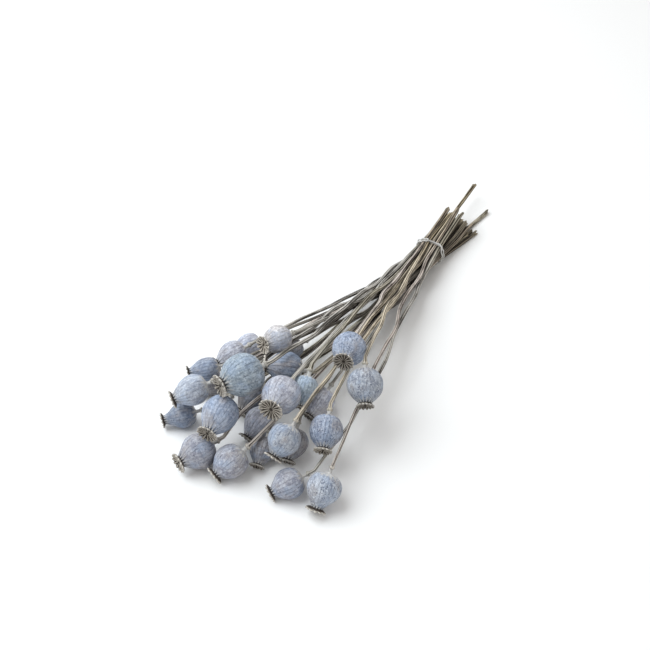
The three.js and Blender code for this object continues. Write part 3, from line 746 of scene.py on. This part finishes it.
def stem_finish(number, settings):
    """Dry furrowed bark, paler on ridges, dark at scars, painted shade in the furrows and where stems press
    on it.
    """
    furrow, ridge = BARKS[STEM_BARKS[number]]
    finish = Finish(f"bark_{number}", roughness=0.75, specular=0.25)
    long_grain = finish.grain((1, 1, 0.03))
    cut = finish.mark("cut")
    ring = finish.mark("ring")
    scar = finish.mark("scar")
    near_head = finish.mark("near_head")
    near_cut = finish.mark("near_cut")
    rib = finish.mark("rib")
    sheltered = finish.mark("sheltered")
    streaks = finish.noise(long_grain, 1.5 * MM, detail=5, roughness=0.62)
    fibres = finish.noise(finish.grain((1, 1, 0.06)), 0.4 * MM, detail=3, roughness=0.6)
    stains = finish.noise(finish.grain((1, 1, 0.5)), 6 * MM, detail=4, roughness=0.6)
    specks = finish.noise(finish.grain((1, 1, 0.5)), 0.8 * MM, detail=3, roughness=0.6)
    stretches = finish.noise(finish.grain((1, 1, 0.25)), 9 * MM, detail=2)
    light = finish.step(streaks * 0.6 + fibres * 0.25 + stretches * 0.45 + rib * 0.08 - 0.65, -0.09, 0.09)
    bark = finish.mix(light, furrow, ridge)
    # Painted shade in the furrows between the ribs.
    painted_furrow_shade = finish.step(rib + streaks - 0.5, -0.15, -0.8)
    bark = finish.mix(painted_furrow_shade * 0.85, bark, shaded(furrow, 0.4))
    bark = finish.mix(finish.step(stains, 0.55, 0.70) * 0.5, bark, furrow)
    bark = finish.mix(finish.step(specks, 0.66, 0.74) * 0.6, bark, shaded(furrow, 0.4))
    bark = finish.mix(near_cut * 0.75, bark, finish.mix(1.0, bark, settings.weathered, "MULTIPLY"))
    bark = finish.mix(near_head * finish.step(streaks, 0.3, 0.7) * 0.5, bark, STALK_BLOOM_COLOR)
    bark = finish.mix(ring * finish.step(specks, 0.35, 0.6) * 0.75, bark, RECEPTACLE_COLOR)
    bark = finish.mix(scar * 0.8, bark, SCAR_COLOR)
    # Painted shade where other stems lie close.
    bark = finish.mix(sheltered * 0.85, bark, shaded(furrow, 0.25))
    pith = finish.mix(finish.step(specks, 0.4, 0.65), settings.pith, shaded(settings.pith, 0.35))
    color = finish.mix(cut, bark, pith)
    height = streaks * 0.6 + fibres * 0.4 - specks * 0.2
    return finish.finish(color, 0.66 + stains * 0.2, height, 0.5 * MM)


def carried_frames(line):
    """A line's tangents, and two directions square to them that turn with the line and never twist."""
    tangents = np.gradient(line, axis=0)
    tangents /= np.linalg.norm(tangents, axis=1, keepdims=True)
    side = unit(np.cross(tangents[0], (0, 0, 1)))
    sides = []
    for tangent in tangents:
        side = unit(side - tangent * (side @ tangent))
        sides.append(side)
    sides = np.array(sides)
    return tangents, sides, np.cross(tangents, sides)


# The receptacle: places back from the stem's end, and radii over the stalk's diameter.
RECEPTACLE = [
    (8.0 * MM, 0.43),
    (6.4 * MM, 0.44),
    (5.0 * MM, 0.46),
    (3.8 * MM, 0.50),
    (2.9 * MM, 0.56),
    (2.4 * MM, 0.62),
    (2.05 * MM, 0.74),
    (1.7 * MM, 0.81),
    (1.2 * MM, 0.82),
    (0.85 * MM, 0.76),
    (0.6 * MM, 0.66),
    (0.25 * MM, 0.63),
    (0.0, 0.60),
]


def stem_line(middles, radii, settings, random):
    """Places and radii along a stem, and how many of them, at its end, are the receptacle's."""
    end = middles[-1]
    axis = unit(end - middles[-2])
    stalk = radii[-2] / RING_RADIUS
    path = np.vstack([middles[:-FLARE_SECTIONS], end - axis * RECEPTACLE[0][0]])
    knots = lengths(path)
    places = np.linspace(0, 1, int(knots[-1] / settings.step))
    line = spline(path, places)
    strays = [Relief(random, STRAY_SIZE, waves=8) for _ in range(2)]
    thick = np.interp(places, knots / knots[-1], [*radii[:-FLARE_SECTIONS], RECEPTACLE[0][1] * stalk])
    _, sides, ups = carried_frames(line)
    fade = (smooth(0, 0.05, places) * smooth(1, 0.93, places))[:, None]
    stray = strays[0](line)[:, None] * sides + strays[1](line)[:, None] * ups
    line = line + fade * settings.waver * stray
    rest = [(end - axis * back, radius * stalk) for back, radius in RECEPTACLE[1:]]
    line = np.vstack([line, [place for place, _ in rest]])
    thick = np.concatenate([thick, [radius for _, radius in rest]])
    return line, thick, len(rest)


def stem_rings(middles, radii, others, settings, random):
    """A stem's rings from the hole in its cut end to the receptacle, and the grain's coordinates."""
    line, thick, receptacle = stem_line(middles, radii, settings, random)
    tangents, sides, ups = carried_frames(line)
    count = settings.sides
    turn = np.arange(count) * TAU / count
    along = lengths(line)
    swell = Relief(random, SWELLING_SIZE, waves=10)
    ribs = random.randint(5, 8)
    twist = random.uniform(-9, 9)
    scars = random.uniform(0.12, 0.85, SCARS) * along[-1]
    scar_turns = random.uniform(0, TAU, SCARS)
    slant = random.uniform(0.8, 3.0) * thick[0]
    slant_turn = random.uniform(0, TAU)
    jag = 0.4 * thick[0] * random.uniform(-1, 1, count)
    for split in random.uniform(0, TAU, SPLITS):
        jag = jag + random.uniform(1.0, 3.2) * thick[0] * smooth(0.75, 0.97, np.cos(turn - split))

    rings = Rings(("cut", "ring", "scar", "near_head", "near_cut", "rib", "sheltered"))
    grain = []

    def add(k, radius, shift=0.0, **marks):
        out = np.outer(np.cos(turn), sides[k]) + np.outer(np.sin(turn), ups[k])
        outward = out * np.broadcast_to(radius, count)[:, None]
        points = line[k] + outward + np.outer(np.broadcast_to(shift, count), tangents[k])
        rings.add(points, sheltered=shelter(line[k], out, others), **marks)
        grain.append(circle(turn, radius, along[k]))

    cut = slant * (1 + np.cos(turn - slant_turn)) / 2 + jag
    hollow = random.uniform(0.45, 0.62)
    depth = cut.max() + HOLLOW_DEPTH
    rings.add(line[0] + tangents[0] * depth, cut=1.0, scar=1.0)
    grain.append([(0, 0, 0)])
    add(0, 0.7 * hollow * thick[0], depth, cut=1.0, scar=0.9)
    add(0, hollow * thick[0], cut + 0.3 * MM, cut=1.0)
    add(0, 0.96 * thick[0], cut, cut=1.0)
    add(0, 1.06 * thick[0], cut + 0.15 * MM, cut=0.3, near_cut=1.0)
    first = int(cut.max() / settings.step) + 2
    for k in range(first, len(line)):
        rib = np.cos(ribs * turn + twist * along[k] / along[-1]) * smooth(len(line), len(line) - RIB_FADE, k)
        radius = thick[k] * (1 + settings.ribs * (rib - 0.7) + 0.03 * swell(line[k]))
        mark = np.zeros(count)
        for place, where in zip(scars, scar_turns):
            near = math.exp(-(((along[k] - place) / SCAR_SWELLING) ** 2))
            facing = smooth(0.0, 1.0, np.cos(turn - where))
            radius = radius + near * thick[k] * (0.05 + 0.12 * facing)
            mark = np.maximum(mark, math.exp(-(((along[k] - place) / SCAR_MARK) ** 2)) * facing)
        in_ring = k >= len(line) - receptacle + FLARE_RINGS
        if in_ring:
            radius = radius * (1 + 0.035 * np.cos(count / 2 * turn))
        near_head = smooth(PALE_FROM, PALE_FULLY, along[-1] - along[k])
        near_cut = smooth(WEATHERED_TO, WEATHERED_FULLY, along[k])
        add(k, radius, ring=float(in_ring), scar=mark, near_head=near_head, near_cut=near_cut, rib=rib)
    rings.add(line[-1], near_head=1.0)
    grain.append([(0, 0, along[-1])])
    return rings, np.vstack(grain)


def make_stem(number, sections, settings):
    random = np.random.RandomState(STEM_SEED + int(number))
    places = np.linspace(0, 1, STEM_PLACES)
    others = [spline(middles, places) for name, (middles, _) in sections.items() if name != number]
    rings, grain = stem_rings(*sections[number], np.vstack(others), settings, random)
    material = stem_finish(number, settings)
    grain = grain + random.uniform(-0.5, 0.5, 3)
    rings.piece(f"poppy_stem_{number}", grain, material, "stem", f"stem_{number}")


def band_path(stems, settings):
    """The band's middle line: a loop twice round the stems, stretched over the outermost ones."""
    low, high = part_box("band")
    tie = (low.y + high.y) / 2
    radius = settings.thickness / 2
    path = []
    outs = []
    for angle in np.arange(BAND_STEPS) * 2 * TAU / BAND_STEPS:
        phase = (angle - math.pi / 2) / 2
        y = tie + settings.spread * math.sin(phase)
        lift = settings.lift * (math.cos(phase) + 1) * max(0.0, math.sin(angle))
        out = np.array([math.cos(angle), 0, math.sin(angle)])
        best = None
        for line, thick in stems:
            k = np.searchsorted(-line[:, 1], -y)
            share = (line[k - 1, 1] - y) / (line[k - 1, 1] - line[k, 1])
            at = line[k - 1] + share * (line[k] - line[k - 1])
            support = at @ out + thick[k]
            if best is None or support > best[0]:
                best = (support, at + out * (thick[k] + settings.gap + radius + lift))
        place = best[1]
        path.append((place[0], y, max(place[2], radius)))
        outs.append(out)
    return np.array(path), np.array(outs)


def band_finish(settings):
    """Matt pale elastic with fine ribs across it."""
    finish = Finish("elastic", roughness=0.6, specular=0.3)
    across = finish.noise(finish.grain((0.05, 0.05, 1)), 0.35 * MM, detail=2)
    soil = finish.noise(finish.grain(), 3 * MM, detail=4)
    color = finish.mix(finish.step(soil, 0.45, 0.75) * 0.5, settings.color, shaded(settings.color, 0.55))
    color = finish.mix(finish.step(across, 0.55, 0.7) * 0.35, color, shaded(settings.color, 0.6))
    return finish.finish(color, 0.55 + soil * 0.2, across, 0.3 * MM)


def make_band(stems, settings):
    """The elastic band as one closed loop of rounded, slightly flattened section."""
    path, outs = band_path(stems, settings)
    for _ in range(BAND_SMOOTHING):
        path[:, 1:] = (np.roll(path, 1, axis=0) + 2 * path + np.roll(path, -1, axis=0))[:, 1:] / 4
    tangents = np.roll(path, -1, axis=0) - np.roll(path, 1, axis=0)
    tangents /= np.linalg.norm(tangents, axis=1, keepdims=True)
    outs = outs - tangents * (outs * tangents).sum(axis=1)[:, None]
    outs /= np.linalg.norm(outs, axis=1, keepdims=True)
    wide = np.cross(tangents, outs)
    turn = np.arange(BAND_SIDES) * TAU / BAND_SIDES
    radius = settings.thickness / 2
    upward = BAND_THIN * np.cos(turn)[None, :, None] * outs[:, None]
    sideways = BAND_BROAD * np.sin(turn)[None, :, None] * wide[:, None]
    points = path[:, None] + radius * (upward + sideways)
    grain = circle(turn, radius, lengths(path)[:, None])
    faces = []
    for k in range(BAND_STEPS):
        for n in range(BAND_SIDES):
            here, there = k * BAND_SIDES, (k + 1) % BAND_STEPS * BAND_SIDES
            after = (n + 1) % BAND_SIDES
            faces.append((here + n, here + after, there + after, there + n))
    piece = made_object("elastic_band", points.reshape(-1, 3), faces, grain, {}, band_finish(settings))
    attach(piece, BODY)
    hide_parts("band")


class POPPY_OT_heads(bpy.types.Operator):
    """Make every seed head in the place of its solid"""

    bl_idname = "poppy.heads"
    bl_label = "Seed heads"

    def execute(self, context):
        for number in NUMBERS:
            middles, _ = stem_sections(number)
            make_head(number, Head(number, middles[-1]), context.scene.poppy_heads)
        return {"FINISHED"}


class POPPY_OT_stems(bpy.types.Operator):
    """Make every stem in the place of its solid"""

    bl_idname = "poppy.stems"
    bl_label = "Stems"

    def execute(self, context):
        sections = {number: stem_sections(number) for number in NUMBERS}
        for number in NUMBERS:
            make_stem(number, sections, context.scene.poppy_stems)
        return {"FINISHED"}


class POPPY_OT_band(bpy.types.Operator):
    """Make the elastic band round the stems"""

    bl_idname = "poppy.band"
    bl_label = "Band"

    def execute(self, context):
        make_band([stem_sections(number) for number in NUMBERS], context.scene.poppy_band)
        return {"FINISHED"}


def add_light(name, place, target, size, power, color):
    light = bpy.data.lights.new(name, "AREA")
    light.color = color
    light.shape = "DISK"
    light.size = size
    light.energy = power
    lamp = bpy.data.objects.new(name, light)
    lamp.location = place
    lamp.rotation_euler = (Vector(target) - Vector(place)).to_track_quat("-Z", "Y").to_euler()
    bpy.context.scene.collection.objects.link(lamp)


class POPPY_OT_stage(bpy.types.Operator):
    """Make the camera, the floor and the soft studio light"""

    bl_idname = "poppy.stage"
    bl_label = "Stage"

    def execute(self, context):
        settings = context.scene.poppy_stage
        low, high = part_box("band")
        under_band = Vector(((low.x + high.x) / 2, (low.y + high.y) / 2, 0))
        aim = under_band + Vector(settings.aim)
        level = math.cos(settings.elevation)
        right = math.sin(settings.azimuth) * level
        ahead = -math.cos(settings.azimuth) * level
        back = Vector((right, ahead, math.sin(settings.elevation)))
        camera = bpy.data.objects.new("camera", bpy.data.cameras.new("camera"))
        camera.data.lens = settings.lens
        camera.data.sensor_width = SENSOR_WIDTH
        camera.data.clip_end = VIEW_REACH
        camera.location = aim + back * settings.distance
        camera.rotation_euler = (-back).to_track_quat("-Z", "Y").to_euler()
        context.scene.collection.objects.link(camera)
        context.scene.camera = camera

        ways = ((-1, -1), (1, -1), (1, 1), (-1, 1))
        corners = [(x * FLOOR_REACH, y * FLOOR_REACH, 0) for x, y in ways]
        mesh = bpy.data.meshes.new("floor")
        mesh.from_pydata(corners, [], [(0, 1, 2, 3)])
        finish = Finish("floor", roughness=0.9, specular=0.1)
        finish.plug(finish.shader.inputs["Base Color"], tuple(settings.floor))
        mesh.materials.append(finish.material)
        floor = bpy.data.objects.new("floor", mesh)
        context.scene.collection.objects.link(floor)

        for name, (place, width, power, color) in LIGHTS.items():
            add_light(name, aim + Vector(place), aim, width, power, color)
        world = bpy.data.worlds.new("studio")
        world.use_nodes = True
        background = world.node_tree.nodes["Background"]
        background.inputs["Color"].default_value = WORLD_COLOR
        background.inputs["Strength"].default_value = WORLD_STRENGTH
        context.scene.world = world
        context.scene.view_settings.view_transform = "Standard"
        return {"FINISHED"}


class POPPY_PT_bunch(bpy.types.Panel):
    """Lists the pieces of the bunch with their settings"""

    bl_idname = "POPPY_PT_bunch"
    bl_label = "Dried Poppy Bunch"
    bl_space_type = "VIEW_3D"
    bl_region_type = "UI"
    bl_category = "Poppies"

    def draw(self, context):
        for operator, group in OPERATORS.items():
            box = self.layout.box()
            box.operator(operator.bl_idname)
            settings = getattr(context.scene, group)
            for name in settings.__annotations__:
                box.prop(settings, name)


OPERATORS = {
    POPPY_OT_stage: "poppy_stage",
    POPPY_OT_heads: "poppy_heads",
    POPPY_OT_stems: "poppy_stems",
    POPPY_OT_band: "poppy_band",
}
GROUPS = {
    "poppy_stage": StageSettings,
    "poppy_heads": HeadSettings,
    "poppy_stems": StemSettings,
    "poppy_band": BandSettings,
}


def register():
    for name, group in GROUPS.items():
        bpy.utils.register_class(group)
        setattr(bpy.types.Scene, name, bpy.props.PointerProperty(type=group))
    for operator in OPERATORS:
        bpy.utils.register_class(operator)
    bpy.utils.register_class(POPPY_PT_bunch)


def unregister():
    bpy.utils.unregister_class(POPPY_PT_bunch)
    for operator in reversed(OPERATORS):
        bpy.utils.unregister_class(operator)
    for name, group in GROUPS.items():
        delattr(bpy.types.Scene, name)
        bpy.utils.unregister_class(group)


def main():
    register()
    bpy.ops.poppy.stage()
    bpy.ops.poppy.heads()
    bpy.ops.poppy.stems()
    bpy.ops.poppy.band()


if __name__ == "__main__":
    main()
